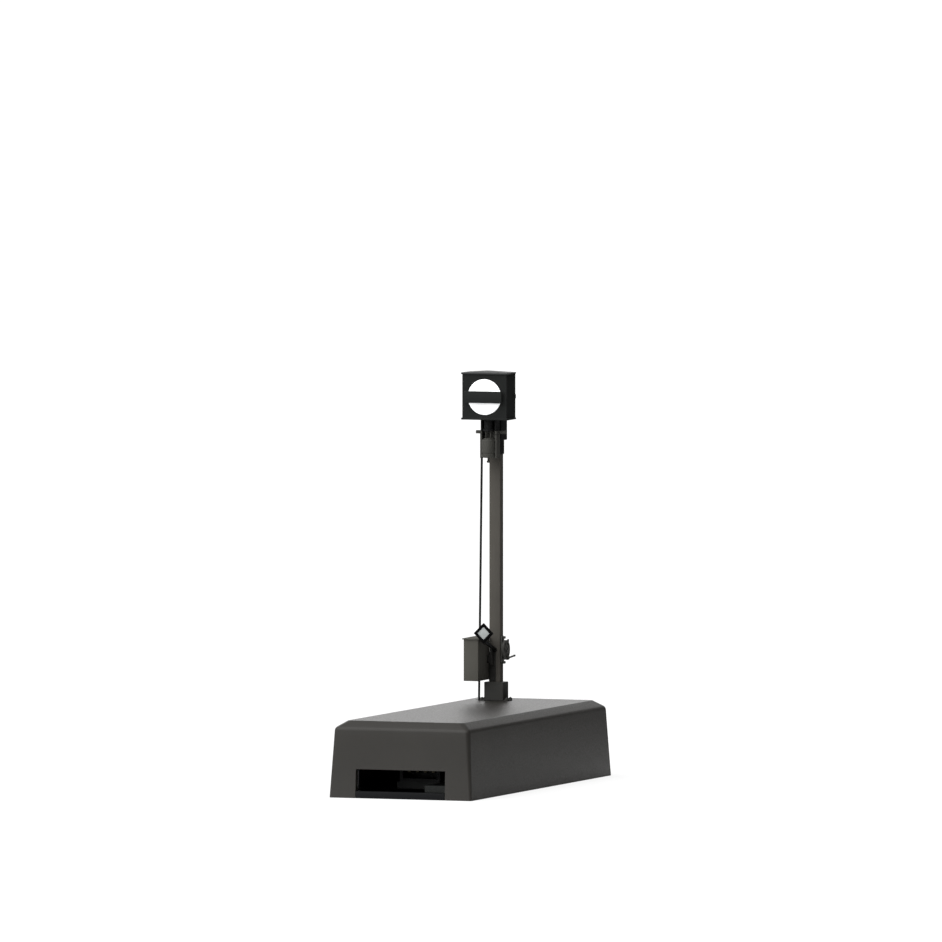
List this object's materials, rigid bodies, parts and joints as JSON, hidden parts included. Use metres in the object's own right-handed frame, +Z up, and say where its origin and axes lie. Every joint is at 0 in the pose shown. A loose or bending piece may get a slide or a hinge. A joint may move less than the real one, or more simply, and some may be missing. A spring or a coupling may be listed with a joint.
{
  "type": "model railway shunting signal",
  "caption": "Model shunting signal: motor base, channel mast and a lantern with a white disc whose black bar turns from level to a slope.",
  "frame": {"origin": "middle of the base's underside", "axes": "+X to the right seen from the front, +Y to the rear along the base, +Z up along the mast"},
  "size_m": [0.0226, 0.0598, 0.0611],
  "materials": {
    "cover_plastic": "fine matt moulding",
    "plate_plastic": "matt black",
    "screw_steel": "zinc plated",
    "board": "glass fibre board with solder mask",
    "board_white": "white solder mask",
    "chip_black": "moulded epoxy",
    "chip_brown": "ceramic chip",
    "bright_metal": "bright drawn",
    "gold_brass": "gold flash",
    "zinc": "die cast",
    "red_wire": "insulation",
    "black_wire": "blackened",
    "brass": "turned",
    "gear_plastic": "acetal",
    "mast_paint": "matt grey paint",
    "foot_paint": "matt dark grey paint",
    "box_paint": "matt warm grey paint",
    "head_paint": "matt warm grey paint",
    "black_paint": "matt black paint",
    "lantern_paint": "matt near-black paint",
    "sign_white": "matt white paint",
    "disc_white": "translucent white acrylic",
    "lamp_yellow": "phosphor over a die",
    "bar_black": "matt black"
  },
  "bodies": {
    "signal_frame": {"base_cover": "cover_plastic", "base_plate": "plate_plastic", "cover_screws": "screw_steel", "control_board": "board", "control_chip": "chip_black", "smoothing_capacitor": "bright_metal", "chip_parts": "chip_brown", "cable_socket": "chip_black", "socket_pins": "gold_brass", "motor_can": "bright_metal", "gearbox": "zinc", "motor_clamp": "plate_plastic", "motor_leads": "red_wire", "drive_bracket": "brass", "drive_screws": "screw_steel", "gear_axle": "bright_metal", "axle_clip": "screw_steel", "rod_guide": "gear_plastic", "rod_bush": "brass", "mast": "mast_paint", "mast_foot": "foot_paint", "foot_nuts": "foot_paint", "lantern_wires": "black_wire", "telephone_box": "box_paint", "telephone_roof": "box_paint", "telephone_bracket": "black_paint", "sign_plate": "sign_white", "sign_frame": "black_paint", "sign_arm": "black_paint", "wheel_plate": "black_paint", "wheel_bolts": "black_paint", "wheel_axle": "screw_steel", "head_sleeve": "mast_paint", "cylinder_bracket": "head_paint", "drive_cylinder": "head_paint", "cylinder_rods": "head_paint", "cross_bar": "head_paint", "neck_tube": "head_paint", "neck_channel": "black_paint", "lantern_housing": "lantern_paint", "lantern_roof": "lantern_paint", "lantern_back": "lantern_paint", "white_disc": "disc_white", "lamp_board": "board_white", "lamps": "lamp_yellow", "shaft_bush": "brass"},
    "signal_bar": {"signal_bar": "bar_black", "bar_shaft": "bright_metal", "bar_crank": "black_paint"},
    "push_rod": {"push_rod": "black_wire", "rod_yoke": "bright_metal"},
    "drive_gear": {"drive_gear": "gear_plastic"},
    "drive_pinion": {"drive_pinion": "brass", "motor_shaft": "bright_metal"},
    "wire_wheel": {"wire_wheel": "black_paint", "pull_arm": "black_paint"}
  },
  "joints": [
    {"name": "gear_turn", "type": "hinge", "parent": "signal_frame", "child": "drive_gear", "pos_m": [-0.00538, 0.0206, 0.00571], "axis": [0, -1, 0], "range_deg": [0, 60]},
    {"name": "pinion_turn", "type": "hinge", "parent": "signal_frame", "child": "drive_pinion", "pos_m": [-0.00013, 0.0206, 0.00571], "axis": [0, -1, 0], "range_deg": [-120, 0]},
    {"name": "rod_slide", "type": "slide", "parent": "signal_frame", "child": "push_rod", "axis": [-0.012, 0, -0.9999], "range_m": [0, 0.00182]},
    {"name": "bar_turn", "type": "hinge", "parent": "signal_frame", "child": "signal_bar", "pos_m": [-0.00425, 0.01795, 0.0572], "axis": [0, -1, 0], "range_deg": [0, 45]},
    {"name": "wheel_turn", "type": "hinge", "parent": "signal_frame", "child": "wire_wheel", "pos_m": [-0.00225, 0.02195, 0.019], "axis": [1, 0, 0], "range_deg": [-30, 30]}
  ],
  "couplings": [
    {"joint": "pinion_turn", "follows": "gear_turn", "ratio": -2},
    {"joint": "rod_slide", "follows": "gear_turn", "m_per_rad": 0.0017404},
    {"joint": "bar_turn", "follows": "gear_turn", "ratio": 0.75}
  ]
}
